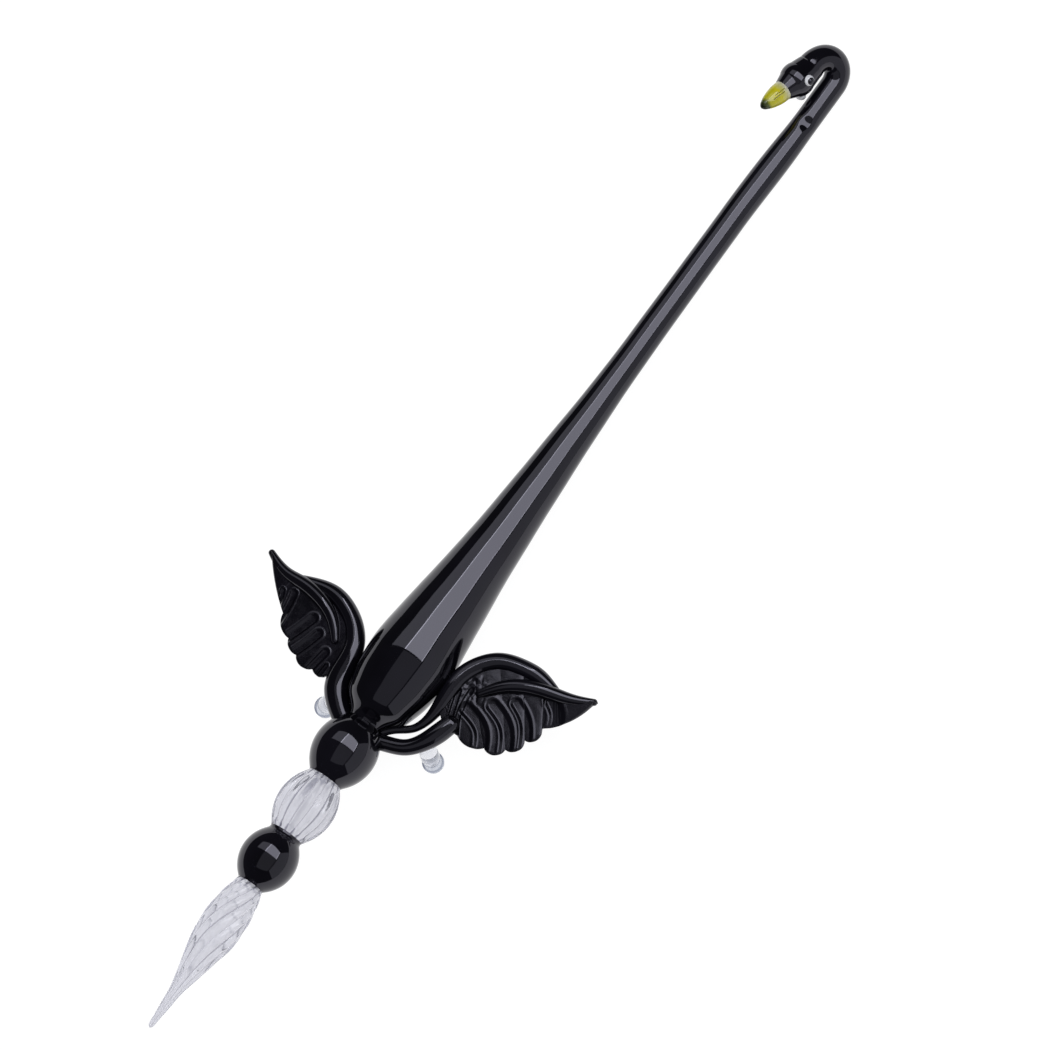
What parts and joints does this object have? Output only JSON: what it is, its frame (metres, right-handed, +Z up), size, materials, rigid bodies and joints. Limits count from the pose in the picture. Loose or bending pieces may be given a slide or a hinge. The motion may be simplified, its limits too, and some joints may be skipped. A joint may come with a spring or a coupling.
{
  "type": "dip pen",
  "caption": "Glass dip pen shaped like a swan, with a fluted spiral nib, ball and bead grips, a long hooked neck, pressed wings and clear feet.",
  "frame": {"origin": "on the table under the middle of the pen's bounding box, as the pen rests on its two feet and the bend of its neck", "axes": "+X along the pen from the nib to the hooked neck, +Y to the swan's left, +Z up"},
  "size_m": [0.1894, 0.0582, 0.0184],
  "materials": {
    "black_glass": "gloss",
    "yellow_glass": "gloss",
    "white_glass": "gloss",
    "pupil_glass": "gloss",
    "clear_glass": "gloss"
  },
  "bodies": {
    "root": {"nib": "clear_glass", "small_ball": "black_glass", "fluted_bead": "clear_glass", "large_ball": "black_glass", "body_and_neck": "black_glass", "neck_hook": "black_glass", "head": "black_glass", "beak": "yellow_glass", "left_eye_white": "white_glass", "right_eye_white": "white_glass", "left_pupil": "pupil_glass", "right_pupil": "pupil_glass", "left_wing_stem": "black_glass", "left_wing_leading_roll": "black_glass", "left_wing_ridge": "black_glass", "left_wing_blade": "black_glass", "right_wing_stem": "black_glass", "right_wing_leading_roll": "black_glass", "right_wing_ridge": "black_glass", "right_wing_blade": "black_glass", "right_wing_inner_strand": "black_glass", "left_leg": "clear_glass", "right_leg": "clear_glass", "left_foot_pad": "clear_glass", "right_foot_pad": "clear_glass"}
  },
  "joints": []
}
